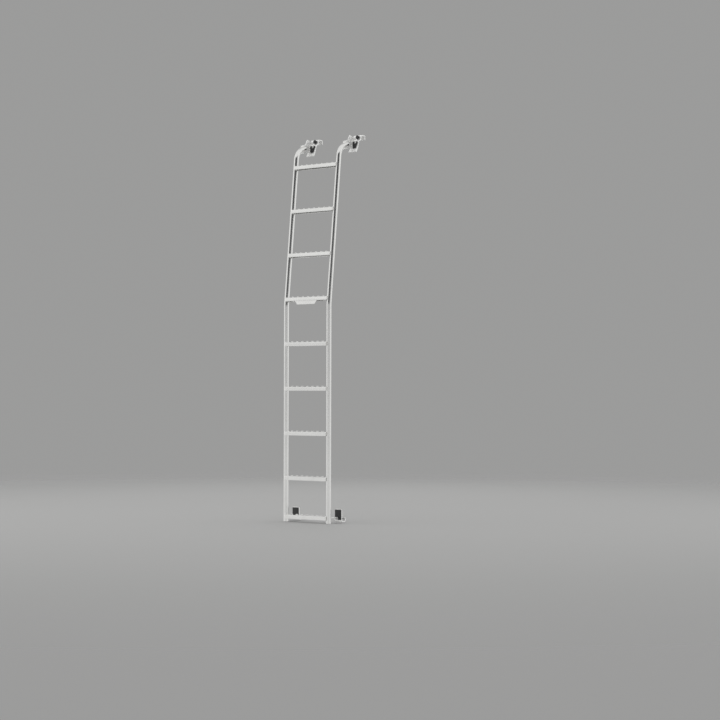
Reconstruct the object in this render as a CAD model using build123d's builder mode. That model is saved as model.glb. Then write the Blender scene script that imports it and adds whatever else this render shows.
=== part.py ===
"""Rear door ladder for a van: two bent stainless tubes, nine pressed rungs, clamps over and under the door.

Frame, in millimetres: +Z is up and +Y points at the door. The origin is the middle of the left lower
pad's door face, so the left rail stands on X = 0 and the right rail on X = rail_spacing.
"""
import os
from math import cos, radians, sin, tan

from build123d import *

# Rails: round tube, upright below the knee, leaning with the door above it, bent over at the top
tube_diameter = 25.0
tube_wall = 1.5
rail_spacing = 300.0
rail_standoff = 82.0
rail_foot_drop = 39.0
knee_height = 1125.0
knee_radius = 120.0
lean_angle = 5.4
upper_length = 820.0
top_bend_radius = 70.0
end_rise_angle = 16.0
end_length = 62.0

# Fits that all pieces share: room left for a weld, and how far a cutter runs past the sheet
weld_gap = 0.15
cut_margin = 5.0

# Plugs that close the lower ends of the rails
plug_depth = 14.0
plug_clearance = 0.1

# Rungs: an inverted channel of folded sheet with one row of raised, pierced crowns
rung_count = 9
rung_pitch = 232.0
foot_rung_pitch = 200.0
foot_rung_height = 26.0
rung_depth = 34.0
rung_height = 20.0
rung_overlap = 7.5
rung_sheet = 2.0
rung_bend_radius = 3.5
crown_count = 7
crown_pitch = 36.0
crown_height = 5.0
crown_base_radius = 10.0
crown_lip_radius = 5.0
crown_hole_radius = 3.0

# Bare tag plate behind the front flange of one rung
tag_rung = 4
tag_top_width = 152.0
tag_bottom_width = 123.0
tag_drop = 18.5
tag_sheet = 1.5
tag_hold = 14.0

# Top clamps: a folded hook over the door's edge, carried by a plate slotted into the tube
hook_sheet = 4.0
hook_bend_radius = 4.0
hook_right = 50.0
hook_foot_forward = 25.0
hook_foot_drop = 25.5
hook_flange_run = 10.0
hook_flange_drop = 16.5
hook_plate_rise = 41.0
hook_plate_lean = 15.0
hook_step_run = 14.0
hook_step_rise = 8.0
hook_upright_run = 4.0
hook_upright_rise = 23.0
hook_reach = 29.0
hook_lip = 22.0
gusset_sheet = 4.0
slot_clearance = 0.1
tang_depth = 27.0
tab_height = 20.0
tab_forward = 11.0
peak_back = 18.0
peak_rise = 33.0
gusset_hole_radius = 5.0
gusset_hole_forward = 13.6
gusset_hole_rise = 7.0
gusset_foot = 6.0
brace_height = 6.5
brace_forward = 16.0
brace_drop = 24.0
brace_length = 57.0
brace_slope = 13.0

# Black clamp block, a wedge that narrows downward, its knob and the rubber facing of the hook
jaw_left = 13.0
jaw_right = 45.0
jaw_low = 3.0
jaw_high = 39.0
jaw_taper = 6.0
jaw_thickness = 8.0
jaw_toe = 4.0
jaw_edge_radius = 2.0
knob_radius = 10.0
knob_height = 11.0
knob_chamfer = 1.5
knob_offset = 32.0
knob_rise = 12.0
knob_stud_radius = 4.0
knob_stud_clearance = 0.2
top_pad_thickness = 3.0
top_pad_margin = 5.0

# Lower hooks: a plate on the door's face that turns under its lower edge, with a black cover plate behind
# it and a rubber facing on the door
lower_width = 47.0
lower_height = 66.0
lower_sheet = 5.0
lower_bend_radius = 5.0
lower_reach = 22.0
lower_lip = 18.0
lower_corner_radius = 6.0
lower_cover_thickness = 3.0
lower_cover_margin = 3.0
lower_cover_radius = 3.0
lower_pad_thickness = 3.0
lower_pad_margin = 3.0

# Arms that carry the lower hooks, welded to the rear of the foot rung
arm_width = 26.0
arm_inward = 10.0
arm_sheet = 4.0
arm_height = -10.0
arm_tab_drop = 12.0
arm_bend_radius = 2.0

# Lines worked out from the sizes above, as (Y, Z) pairs in the plane of a rail
rail_y = -rail_standoff
foot_z = -rail_foot_drop
tube_radius = tube_diameter / 2
lean = Vector(sin(radians(lean_angle)), cos(radians(lean_angle)))
end_direction = Vector(cos(radians(end_rise_angle)), sin(radians(end_rise_angle)))
end_normal = Vector(-end_direction.Y, end_direction.X)
rail_foot = Vector(rail_y, foot_z)
rail_knee = Vector(rail_y, foot_z + knee_height)
rail_corner = rail_knee + lean * upper_length
rail_end = rail_corner + end_direction * end_length

hook_foot = rail_end + Vector(hook_foot_forward, -hook_foot_drop)
hook_toe = hook_foot - Vector(hook_flange_run, hook_flange_drop)
hook_knee = hook_foot + Vector(hook_plate_rise * tan(radians(hook_plate_lean)), hook_plate_rise)
hook_shoulder = hook_knee + Vector(hook_step_run, hook_step_rise)
hook_crest = hook_shoulder + Vector(hook_upright_run, hook_upright_rise)
hook_nose = hook_crest + Vector(hook_reach, 0)
hook_start = -gusset_sheet / 2
plate_direction = Vector(sin(radians(hook_plate_lean)), cos(radians(hook_plate_lean)))
plate_rear = Vector(-plate_direction.Y, plate_direction.X)
plate_length = (hook_knee - hook_foot).length
upright_direction = Vector(hook_upright_run, hook_upright_rise).normalized()
upright_rear = Vector(-upright_direction.Y, upright_direction.X)

sides = {"left": 0.0, "right": rail_spacing}
os.makedirs("parts", exist_ok=True)


def side_plane(x):
    """The upright fore-and-aft plane at x, drawn on in (Y, Z)."""
    return Plane.YZ.offset(x)


def save(builder, name):
    """Label a finished piece and write it as its own file."""
    builder.part.label = name
    export_step(builder.part, f"parts/{name}.step")


def from_end(along, rise):
    """A (Y, Z) point measured from the rail's cut end, along the tube and square to it."""
    return rail_end + end_direction * along + end_normal * rise


def fold(points, middle_radius, thickness):
    """Section of a folded strip: thickness carried along the sheet's middle line, with rounded bends."""
    with BuildSketch() as section:
        with BuildLine():
            FilletPolyline(*[(p.X, p.Y) for p in points], radius=middle_radius)
        trace(line_width=thickness)
    return section.sketch


def hook_section(growth=0.0):
    """Section of a top hook: sloped flange, plate, step, upright, reach over the door's edge, inner lip."""
    path = [
        hook_toe,
        hook_foot,
        hook_knee,
        hook_shoulder,
        hook_crest,
        hook_nose,
        hook_nose - Vector(0, hook_lip),
    ]
    return fold(path, hook_bend_radius + hook_sheet / 2, hook_sheet + 2 * growth)


def gusset_outline():
    """The plate that joins a rail's end to its hook: tab, peak, hook faces, foot, brace and tang."""
    bend_clear = hook_sheet + hook_bend_radius
    brace_root = from_end(brace_forward, -brace_drop)
    brace_tip = brace_root - Vector(brace_length, brace_slope)
    outline = [
        from_end(-tang_depth, tab_height),
        from_end(tab_forward, tab_height),
        hook_knee + Vector(-peak_back, peak_rise),
        hook_crest - upright_direction * bend_clear,
        hook_shoulder,
        hook_knee,
        hook_foot + plate_direction * gusset_foot,
        brace_root,
        brace_tip,
        brace_tip + Vector(0, brace_height),
        brace_root + Vector(0, brace_height),
        from_end(tab_forward, -tube_radius),
        from_end(-tang_depth, -tube_radius),
    ]
    hook = hook_section(weld_gap)
    with BuildSketch() as gusset:
        with BuildLine():
            Polyline(*[(p.X, p.Y) for p in outline], close=True)
        make_face()
        add(hook, mode=Mode.SUBTRACT)
    return gusset.sketch


def make_rail(name, x):
    """A bent tube, slotted at its upper end for the gusset."""
    gusset = gusset_outline()
    with BuildPart() as rail:
        with BuildLine(side_plane(x)) as path:
            FilletPolyline(
                *[(p.X, p.Y) for p in (rail_foot, rail_knee, rail_corner, rail_end)],
                radius=[knee_radius, top_bend_radius],
            )
        with BuildSketch(Plane(path.line @ 0, z_dir=path.line % 0)):
            Circle(tube_radius)
            Circle(tube_radius - tube_wall, mode=Mode.SUBTRACT)
        sweep(path=path.line)
        with BuildSketch(side_plane(x)):
            add(gusset)
        extrude(amount=gusset_sheet / 2 + slot_clearance, both=True, mode=Mode.SUBTRACT)
    save(rail, name)


def make_plug(name, x):
    """A moulded plug flush with the lower end of a rail."""
    with BuildPart() as plug:
        with BuildSketch(Plane.XY.offset(foot_z)):
            with Locations((x, rail_y)):
                Circle(tube_radius - tube_wall - plug_clearance)
        extrude(amount=plug_depth)
    save(plug, name)


def rail_station(height):
    """Point (Y, Z) and direction of a rail's axis at a height above its foot, measured along the tube."""
    if height <= knee_height:
        return rail_foot + Vector(0, height), Vector(0, 1)
    return rail_knee + lean * (height - knee_height), lean


def rung_stations():
    """Heights along the tube of the rung middles, from the top rung down to the foot rung."""
    above_foot = [foot_rung_pitch + rung_pitch * i for i in range(rung_count - 1)]
    return [foot_rung_height + step for step in reversed([0.0] + above_foot)]


def rung_plane(height):
    """Plane across the ladder at a rung: X to the right, Y towards the door, Z along the tube."""
    point, direction = rail_station(height)
    return Plane(
        origin=(rail_spacing / 2, point.X, point.Y),
        x_dir=(1, 0, 0),
        z_dir=(0, direction.X, direction.Y),
    )


def make_crown():
    """One pressed crown: a hollow cone of the sheet's own metal, drawn up to a pierced lip."""
    with BuildPart() as crown:
        with BuildSketch(Plane.XZ):
            with BuildLine():
                Polyline(
                    (crown_base_radius, -rung_sheet),
                    (crown_base_radius, 0),
                    (crown_lip_radius, crown_height),
                    (crown_hole_radius, crown_height),
                    close=True,
                )
            make_face()
        revolve(axis=Axis.Z)
    return crown.part


def make_rung(name, height):
    """A folded channel with pierced crowns, coped at both ends to sit round the tubes."""
    base = rung_plane(height)
    half_depth = (rung_depth - rung_sheet) / 2
    top = rung_height / 2
    middle_top = top - rung_sheet / 2
    corners = [(-half_depth, -top), (-half_depth, middle_top), (half_depth, middle_top), (half_depth, -top)]
    channel = fold([Vector(*corner) for corner in corners], rung_bend_radius - rung_sheet / 2, rung_sheet)
    length = rail_spacing - tube_diameter + 2 * rung_overlap
    crown = make_crown()
    with BuildPart() as rung:
        with BuildSketch(Plane(origin=base.origin, x_dir=base.y_dir, z_dir=base.x_dir)):
            add(channel)
        extrude(amount=length / 2, both=True)
        with Locations(base.offset(top)):
            with GridLocations(crown_pitch, 0, crown_count, 1):
                Hole(crown_base_radius, depth=rung_sheet)
                add(crown)
        with Locations(base):
            with GridLocations(rail_spacing, 0, 2, 1):
                Cylinder(tube_radius + weld_gap, rung_height + 2 * cut_margin, mode=Mode.SUBTRACT)
    save(rung, name)


def make_tag(name, height):
    """A bare trapezoid plate fixed behind a rung's front flange, hanging below it."""
    base = rung_plane(height)
    flange_back = -rung_depth / 2 + rung_sheet
    face = Plane(origin=base.origin, x_dir=base.x_dir, z_dir=-base.y_dir).offset(-flange_back)
    low = -rung_height / 2
    with BuildPart() as tag:
        with BuildSketch(face):
            with BuildLine():
                Polyline(
                    (-tag_top_width / 2, low + tag_hold),
                    (tag_top_width / 2, low + tag_hold),
                    (tag_top_width / 2, low),
                    (tag_bottom_width / 2, low - tag_drop),
                    (-tag_bottom_width / 2, low - tag_drop),
                    (-tag_top_width / 2, low),
                    close=True,
                )
            make_face()
        extrude(amount=-tag_sheet)
    save(tag, name)


def make_gusset(name, x):
    """The pierced plate that stands in the rail's slot and carries the hook."""
    gusset_face = gusset_outline()
    hole = from_end(gusset_hole_forward, gusset_hole_rise)
    with BuildPart() as gusset:
        with BuildSketch(side_plane(x)):
            add(gusset_face)
            with Locations((hole.X, hole.Y)):
                Circle(gusset_hole_radius, mode=Mode.SUBTRACT)
        extrude(amount=gusset_sheet / 2, both=True)
    save(gusset, name)


def knob_plane(x):
    """Plane on the rear face of the hook's upright, where the knob sits."""
    seat = hook_shoulder + upright_direction * knob_rise + upright_rear * (hook_sheet / 2)
    return Plane(
        origin=(x + knob_offset, seat.X, seat.Y),
        x_dir=(1, 0, 0),
        z_dir=(0, upright_rear.X, upright_rear.Y),
    )


def make_top_hook(name, x):
    """The folded hook, flush with its gusset on the left, drilled for the knob's stud."""
    section = hook_section()
    with BuildPart() as hook:
        with BuildSketch(side_plane(x + hook_start)):
            add(section)
        extrude(amount=hook_right - hook_start)
        with Locations(knob_plane(x)):
            Hole(knob_stud_radius + knob_stud_clearance, depth=hook_sheet + cut_margin)
    save(hook, name)


def make_knob(name, x):
    """A round knob on a stud that passes through the hook's upright."""
    seat = knob_plane(x)
    with BuildPart() as knob:
        with BuildSketch(seat.offset(weld_gap)):
            Circle(knob_radius)
        extrude(amount=knob_height)
        chamfer(knob.faces().sort_by(Axis(seat.origin, seat.z_dir))[-1].edges(), knob_chamfer)
        with BuildSketch(seat.offset(weld_gap)):
            Circle(knob_stud_radius)
        extrude(amount=-hook_sheet)
    save(knob, name)


def plate_plane(x, depth):
    """Plane parallel to the hook's plate: X to the right, Y up the plate, at a depth behind its middle."""
    start = hook_foot + plate_rear * depth
    return Plane(
        origin=(x, start.X, start.Y),
        x_dir=(1, 0, 0),
        z_dir=(0, plate_rear.X, plate_rear.Y),
    )


def make_jaw(name, x):
    """The black clamp block on the rear of the hook's plate, narrower and thinner towards its toe."""
    seat = plate_plane(x, hook_sheet / 2 + weld_gap)
    side = Plane(origin=seat.origin, x_dir=seat.y_dir, z_dir=seat.x_dir)
    with BuildPart() as jaw:
        with BuildSketch(seat):
            with BuildLine():
                Polyline(
                    (jaw_left + jaw_taper, jaw_low),
                    (jaw_right - jaw_taper, jaw_low),
                    (jaw_right, jaw_high),
                    (jaw_left, jaw_high),
                    close=True,
                )
            make_face()
        extrude(amount=jaw_thickness)
        with BuildSketch(side):
            with BuildLine():
                Polyline(
                    (jaw_low, jaw_toe),
                    (jaw_high, jaw_thickness),
                    (jaw_low, jaw_thickness),
                    close=True,
                )
            make_face()
        extrude(amount=jaw_right, mode=Mode.SUBTRACT)
        rear_face = jaw.faces().sort_by(Axis((0, 0, 0), (0, plate_rear.X, plate_rear.Y)))[-1]
        fillet(rear_face.edges(), jaw_edge_radius)
    save(jaw, name)


def make_top_pad(name, x):
    """The rubber facing between the hook's plate and the door."""
    width = hook_right - hook_start - 2 * top_pad_margin
    height = plate_length - 2 * (top_pad_margin + hook_bend_radius)
    with BuildPart() as pad:
        with BuildSketch(plate_plane(x, -hook_sheet / 2)):
            with Locations(((hook_right + hook_start) / 2, plate_length / 2)):
                Rectangle(width, height)
        extrude(amount=-top_pad_thickness)
    save(pad, name)


def make_lower_hook(name, x):
    """A strip on the door's face that turns forward under its lower edge and up behind it."""
    middle = -lower_pad_thickness - lower_sheet / 2
    low = -lower_height / 2 + lower_sheet / 2
    nose = middle + lower_sheet + lower_reach
    path = [
        Vector(middle, lower_height / 2),
        Vector(middle, low),
        Vector(nose, low),
        Vector(nose, low + lower_lip),
    ]
    section = fold(path, lower_bend_radius + lower_sheet / 2, lower_sheet)
    with BuildPart() as hook:
        with BuildSketch(side_plane(x)):
            add(section)
        extrude(amount=lower_width / 2, both=True)
        top_face = hook.faces().sort_by(Axis.Z)[-1]
        fillet(top_face.edges().filter_by(Axis.Y), lower_corner_radius)
    save(hook, name)


def make_lower_cover(name, x):
    """The black plate on the rear of a lower hook, inside its bare rim."""
    bottom = -lower_height / 2 + lower_sheet + lower_bend_radius
    height = lower_height / 2 - lower_cover_margin - bottom
    with BuildPart() as cover:
        with BuildSketch(Plane.XZ.offset(lower_pad_thickness + lower_sheet)):
            with Locations((x, bottom + height / 2)):
                RectangleRounded(lower_width - 2 * lower_cover_margin, height, lower_cover_radius)
        extrude(amount=lower_cover_thickness)
    save(cover, name)


def make_lower_pad(name, x):
    """The rubber facing between the lower hook and the door; its front face lies on the door."""
    width = lower_width - 2 * lower_pad_margin
    height = lower_height - 2 * (lower_sheet + lower_bend_radius)
    with BuildPart() as pad:
        with BuildSketch(Plane.XZ):
            with Locations((x, 0)):
                Rectangle(width, height)
        extrude(amount=lower_pad_thickness)
    save(pad, name)


def make_arm(name, x, inward):
    """A bent strip from the rear flange of the foot rung to the lower hook's cover, just inside the rail."""
    start = rail_y + rung_depth / 2 + weld_gap
    back = -lower_pad_thickness - lower_sheet - lower_cover_thickness - arm_sheet / 2
    path = [
        Vector(start, arm_height),
        Vector(back, arm_height),
        Vector(back, arm_height - arm_tab_drop),
    ]
    section = fold(path, arm_bend_radius + arm_sheet / 2, arm_sheet)
    with BuildPart() as arm:
        with BuildSketch(side_plane(x + inward * arm_inward)):
            add(section)
        extrude(amount=arm_width / 2, both=True)
    save(arm, name)


for side, x in sides.items():
    make_rail(f"{side}_rail", x)
    make_plug(f"{side}_end_plug", x)
    make_gusset(f"{side}_top_gusset", x)
    make_top_hook(f"{side}_top_hook", x)
    make_knob(f"{side}_top_knob", x)
    make_jaw(f"{side}_top_jaw", x)
    make_top_pad(f"{side}_top_pad", x)
    make_lower_hook(f"{side}_lower_hook", x)
    make_lower_cover(f"{side}_lower_cover", x)
    make_lower_pad(f"{side}_lower_pad", x)
    make_arm(f"{side}_lower_arm", x, inward=1 if side == "left" else -1)

for number, height in enumerate(rung_stations(), start=1):
    make_rung(f"rung_{number}", height)
    if number == tag_rung:
        make_tag("tag_plate", height)
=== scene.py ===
# %% [markdown]
# # A stainless rear door ladder
#
# The ladder is two bent tubes, nine pressed rungs and four clamps that hold it at its top and foot. Its
# solids come from a CAD model that is loaded first and never moved, so every surface made here goes where
# the solids already are. All lengths are in metres: X runs from the left tube to the right one, Y points
# away from the climber and Z is up.

import bmesh
import bpy
import numpy as np
from mathutils import Matrix, Vector


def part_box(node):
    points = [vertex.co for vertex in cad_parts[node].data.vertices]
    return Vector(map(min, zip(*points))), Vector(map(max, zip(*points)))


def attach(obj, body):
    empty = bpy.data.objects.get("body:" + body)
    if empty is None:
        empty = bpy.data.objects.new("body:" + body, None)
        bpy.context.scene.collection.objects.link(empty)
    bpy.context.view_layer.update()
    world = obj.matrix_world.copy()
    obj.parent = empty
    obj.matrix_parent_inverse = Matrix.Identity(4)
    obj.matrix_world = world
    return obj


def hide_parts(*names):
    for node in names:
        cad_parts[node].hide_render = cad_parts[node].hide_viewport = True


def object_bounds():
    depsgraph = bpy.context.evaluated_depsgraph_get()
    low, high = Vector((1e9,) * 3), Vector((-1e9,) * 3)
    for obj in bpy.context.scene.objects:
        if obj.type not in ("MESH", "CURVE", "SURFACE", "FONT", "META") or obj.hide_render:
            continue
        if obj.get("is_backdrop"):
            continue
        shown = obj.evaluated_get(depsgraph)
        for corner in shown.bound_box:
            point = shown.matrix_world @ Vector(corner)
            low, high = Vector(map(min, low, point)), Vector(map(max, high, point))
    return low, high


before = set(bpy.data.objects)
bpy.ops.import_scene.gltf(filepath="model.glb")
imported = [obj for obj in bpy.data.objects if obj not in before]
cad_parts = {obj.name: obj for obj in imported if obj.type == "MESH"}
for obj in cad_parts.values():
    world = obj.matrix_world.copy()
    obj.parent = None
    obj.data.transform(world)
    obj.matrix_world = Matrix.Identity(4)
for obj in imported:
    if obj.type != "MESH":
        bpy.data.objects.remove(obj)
cad_low, cad_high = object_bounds()
SIDES = ("left", "right")
X_AXIS, Y_AXIS, Z_AXIS = np.eye(3)
print(len(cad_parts), "solids, box", [round(v, 4) for v in cad_high - cad_low])

# %% [markdown]
# ## The camera
#
# The viewpoint was worked out once from the picture: the two tubes and the nine rungs give enough known
# lengths to solve for it. A long lens far away keeps the tubes nearly parallel. The turn is written as
# yaw, pitch and roll, because those are what a photographer sets on a tripod.

# %% Camera
CAMERA_PLACE = (7.3002, -7.7523, 0.6091)
CAMERA_YAW, CAMERA_PITCH, CAMERA_ROLL = np.radians([41.504, 1.045, 0.12])
CAMERA_LENS = 101.38
SENSOR_WIDTH = 36.0

camera = bpy.data.objects.new("camera", bpy.data.cameras.new("camera"))
camera.data.lens = CAMERA_LENS
camera.data.sensor_width = SENSOR_WIDTH
level = Matrix.Rotation(np.pi / 2 + CAMERA_PITCH, 4, "X")
turn = Matrix.Rotation(CAMERA_YAW, 4, "Z") @ level @ Matrix.Rotation(CAMERA_ROLL, 4, "Z")
camera.matrix_world = Matrix.Translation(CAMERA_PLACE) @ turn
bpy.context.scene.collection.objects.link(camera)
bpy.context.scene.camera = camera
bpy.context.scene.view_settings.view_transform = "Standard"
print("camera at", [round(v, 3) for v in camera.location])


# %% [markdown]
# ## Node helpers
#
# A procedural finish is a small graph of nodes. These helpers keep the graphs readable: one makes a node,
# sets its values and links its inputs in a single call, and the others use it to mix two colours, to map
# a range, to read a noise or to start a material.

# %% Node helpers
def add_node(tree, kind, inputs=None, **settings):
    """Make a node; an input given a socket is linked to it, and any other input is set to the value."""
    made = tree.nodes.new(kind)
    for key, value in settings.items():
        setattr(made, key, value)
    for key, value in (inputs or {}).items():
        if isinstance(value, bpy.types.NodeSocket):
            tree.links.new(value, made.inputs[key])
        else:
            made.inputs[key].default_value = value
    return made


MIX_FACTOR, MIX_FIRST, MIX_SECOND, MIX_RESULT = 0, 6, 7, 2


def mix_colour(tree, factor, first, second):
    """The output of a colour Mix node: the first colour at factor 0, the second at factor 1."""
    inputs = {MIX_FACTOR: factor, MIX_FIRST: first, MIX_SECOND: second}
    return add_node(tree, "ShaderNodeMix", inputs, data_type="RGBA").outputs[MIX_RESULT]


def map_range(tree, value, start, end, low, high, smooth=False):
    """The output of a Map Range node: value from start..end becomes low..high, held at the ends."""
    inputs = {"Value": value, "From Min": start, "From Max": end, "To Min": low, "To Max": high}
    shape = "SMOOTHSTEP" if smooth else "LINEAR"
    return add_node(tree, "ShaderNodeMapRange", inputs, interpolation_type=shape).outputs["Result"]


def noise(tree, place, settings):
    """The output of a Noise Texture node that is read at a place."""
    return add_node(tree, "ShaderNodeTexNoise", {"Vector": place, **settings}).outputs[0]


def mirrored_ray(tree):
    """A socket that is 1 for rays that a mirror or glass sends on, else 0."""
    ray = add_node(tree, "ShaderNodeLightPath").outputs
    either = {0: ray["Is Glossy Ray"], 1: ray["Is Transmission Ray"]}
    return add_node(tree, "ShaderNodeMath", either, operation="MAXIMUM").outputs[0]


def start_finish(name, **sockets):
    """A new node material; an underscore stands for a space in the name of a shader socket to set."""
    material = bpy.data.materials.new(name)
    material.use_nodes = True
    tree = material.node_tree
    shader = tree.nodes["Principled BSDF"]
    for key, value in sockets.items():
        shader.inputs[key.replace("_", " ")].default_value = value
    return material, tree, shader


# %% [markdown]
# ## The studio
#
# Bright metal has no colour of its own: it shows the room. So the room is built like a product
# photographer's, and written as tones by direction. Behind the camera hangs an unlit band, not far above
# the horizon, which puts the dark line down the middle of the leaning tubes. To the left and right stand
# pale walls, which put a bright line on each side of it. A pale ceiling lights all that faces up, and a
# narrow dark cloth hangs opposite the camera. Under the band the front is half bright and the ground
# before it is pale, so the upright tubes stay grey and grow brighter towards the foot. Close below, the
# ground is dark in front and behind and pale at the sides, which draws the tubes in views from above.
# The camera itself sees one plain tone behind the ladder, whichever way it looks.

# %% Tones of the studio
BACKDROP = (0.33, 0.33, 0.327, 1.0)
WALL, UNLIT, CLOTH = (1.0, 1.0, 0.99, 1.0), (0.07, 0.07, 0.073, 1.0), (0.22, 0.22, 0.222, 1.0)
CEILING, CEILING_BEHIND = (0.96, 0.96, 0.955, 1.0), (0.66, 0.66, 0.657, 1.0)
LOW_WALL, LOW_FRONT = (1.0, 1.0, 0.99, 1.0), (0.56, 0.56, 0.56, 1.0)
GROUND, NEAR_SIDES, NEAR_ENDS = (0.86, 0.86, 0.855, 1.0), (0.86, 0.86, 0.855, 1.0), (0.3, 0.3, 0.3, 1.0)
UNLIT_TURN = np.radians(-8.0)
UNLIT_STARTS, UNLIT_FULL = np.cos(np.radians([56.0, 40.0]))
FRONT_STARTS, FRONT_FULL = np.cos(np.radians([95.0, 50.0]))
CLOTH_STARTS, CLOTH_FULL = np.cos(np.radians([150.0, 170.0]))
BEHIND_STARTS, BEHIND_FULL = np.cos(np.radians([105.0, 150.0]))
ENDS_START, ENDS_FULL = np.cos(np.radians([62.0, 30.0]))
LOW_ENDS, WALL_STARTS = np.sin(np.radians([4.0, 11.0]))
GROUND_STARTS, GROUND_FULL = np.sin(np.radians([3.0, -3.0]))
NEAR_STARTS, NEAR_FULL = np.sin(np.radians([-5.0, -11.0]))
CEILING_STARTS, CEILING_FULL = np.sin(np.radians([24.0, 34.0]))
AMBIENT = 0.78

# %% Directions of the sky
ladder_middle = np.array((cad_low + cad_high) / 2)
to_camera = (np.array(CAMERA_PLACE) - ladder_middle) * (1, 1, 0)
unlit_side = np.array(Matrix.Rotation(UNLIT_TURN, 3, "Z") @ Vector(to_camera).normalized())
world = bpy.data.worlds.new("studio")
world.use_nodes = True
bpy.context.scene.world = world
sky = world.node_tree
sky.nodes.clear()
direction = add_node(sky, "ShaderNodeTexCoord").outputs["Generated"]
height = add_node(sky, "ShaderNodeSeparateXYZ", {"Vector": direction}).outputs["Z"]
flat = add_node(sky, "ShaderNodeVectorMath", {0: direction, 1: (1, 1, 0)}, operation="MULTIPLY").outputs[0]
bearing = add_node(sky, "ShaderNodeVectorMath", {0: flat}, operation="NORMALIZE").outputs[0]
facing = add_node(sky, "ShaderNodeVectorMath", {0: bearing, 1: unlit_side}, operation="DOT_PRODUCT")
facing = facing.outputs["Value"]
either_end = add_node(sky, "ShaderNodeMath", {0: facing}, operation="ABSOLUTE").outputs[0]
print("the unlit band hangs towards", unlit_side.round(3))


# %% Tones by direction
def ramp(value, start, full):
    """A soft step of the sky: 0 where value is at start, 1 where it is at full."""
    return map_range(sky, value, start, full, 0.0, 1.0, smooth=True)


near = mix_colour(sky, ramp(either_end, ENDS_START, ENDS_FULL), NEAR_SIDES, NEAR_ENDS)
ground = mix_colour(sky, ramp(height, NEAR_STARTS, NEAR_FULL), GROUND, near)
low = mix_colour(sky, ramp(facing, FRONT_STARTS, FRONT_FULL), LOW_WALL, LOW_FRONT)
low = mix_colour(sky, ramp(height, GROUND_STARTS, GROUND_FULL), low, ground)
high = mix_colour(sky, ramp(facing, UNLIT_STARTS, UNLIT_FULL), WALL, UNLIT)
high = mix_colour(sky, ramp(facing, CLOTH_STARTS, CLOTH_FULL), high, CLOTH)
ceiling = mix_colour(sky, ramp(facing, BEHIND_STARTS, BEHIND_FULL), CEILING, CEILING_BEHIND)
high = mix_colour(sky, ramp(height, CEILING_STARTS, CEILING_FULL), high, ceiling)
room = mix_colour(sky, ramp(height, LOW_ENDS, WALL_STARTS), low, high)
print("room of", len(sky.nodes), "nodes")

# %% What each kind of ray sees
ray = add_node(sky, "ShaderNodeLightPath").outputs
seen = mix_colour(sky, ray["Is Camera Ray"], room, BACKDROP)
shows = {0: ray["Is Camera Ray"], 1: mirrored_ray(sky)}
shows = add_node(sky, "ShaderNodeMath", shows, operation="MAXIMUM").outputs[0]
lit = add_node(sky, "ShaderNodeBackground", {"Color": (1, 1, 1, 1), "Strength": AMBIENT}).outputs[0]
shown = add_node(sky, "ShaderNodeBackground", {"Color": seen, "Strength": 1.0}).outputs[0]
mixed = add_node(sky, "ShaderNodeMixShader", {0: shows, 1: lit, 2: shown}).outputs[0]
add_node(sky, "ShaderNodeOutputWorld", {"Surface": mixed})
print("world: backdrop", BACKDROP[0], "ambient", AMBIENT)

# %% [markdown]
# ### Soft boxes
#
# Matt and black parts need lamps of their own. Four large rectangles stand round the ladder, because a
# small lamp would cast hard shadows. They could also show as white panels in the steel, but the room's
# tones already do that, so the lamps are hidden from the camera and from mirrored rays.

# %% Soft boxes
LIGHT_AIM = Vector((0.15, 0.0, 1.0))


def soft_box(name, azimuth, elevation, distance, width, tall, radiance):
    """A rectangular light aimed at the ladder, not mirrored in the steel; power = radiance x area x pi."""
    around, up = np.radians([azimuth, elevation])
    away = Vector((np.sin(around) * np.cos(up), -np.cos(around) * np.cos(up), np.sin(up)))
    lamp = bpy.data.lights.new(name, "AREA")
    lamp.shape = "RECTANGLE"
    lamp.size, lamp.size_y = width, tall
    lamp.energy = radiance * width * tall * np.pi
    box = bpy.data.objects.new(name, lamp)
    aim = away.to_track_quat("Z", "Y").to_matrix().to_4x4()
    box.matrix_world = Matrix.Translation(LIGHT_AIM + away * distance) @ aim
    box.visible_camera = False
    box.visible_glossy = False
    bpy.context.scene.collection.objects.link(box)
    print(name, "power", round(lamp.energy, 1))


soft_box("left_soft_box", azimuth=-48, elevation=24, distance=5.0, width=3.2, tall=3.2, radiance=1.15)
soft_box("right_soft_box", azimuth=128, elevation=14, distance=5.0, width=1.8, tall=3.6, radiance=1.15)
soft_box("door_side_soft_box", azimuth=215, elevation=25, distance=5.0, width=2.4, tall=3.0, radiance=0.8)
soft_box("top_soft_box", azimuth=0, elevation=88, distance=4.5, width=3.5, tall=3.5, radiance=1.0)


# %% [markdown]
# ## Surfaces from grids
#
# Every new piece is worked out as numbers first: a grid of points, rows by columns, where each cell
# becomes a face. A piece may be several such patches. Points that coincide where two patches meet, or
# where a grid closes on itself, are merged, so the piece ends as one skin with no open seams. Sheet parts
# also get their sharp edges broken by a fine bevel, which the last helper adds.

# %% Faces and distances of a grid
def grid_faces(rows, columns):
    """Corner numbers of all cells of a rows x columns grid, counted round each cell, as one array."""
    number = np.arange(rows * columns).reshape(rows, columns)
    corners = [number[:-1, :-1], number[1:, :-1], number[1:, 1:], number[:-1, 1:]]
    return np.stack(corners, axis=-1).reshape(-1, 4)


def walked(patch, axis):
    """Distance walked along one direction of a grid, averaged over the other, in metres."""
    steps = np.linalg.norm(np.diff(patch, axis=axis), axis=-1).mean(axis=1 - axis)
    return np.concatenate([[0.0], np.cumsum(steps)])


def line_walk(points):
    """Distance walked along a line of points, from 0 at the first, in metres."""
    return np.concatenate([[0.0], np.cumsum(np.linalg.norm(np.diff(points, axis=0), axis=1))])


def unit(vectors):
    """Vectors divided by their own lengths."""
    return vectors / np.linalg.norm(vectors, axis=-1, keepdims=True)


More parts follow.
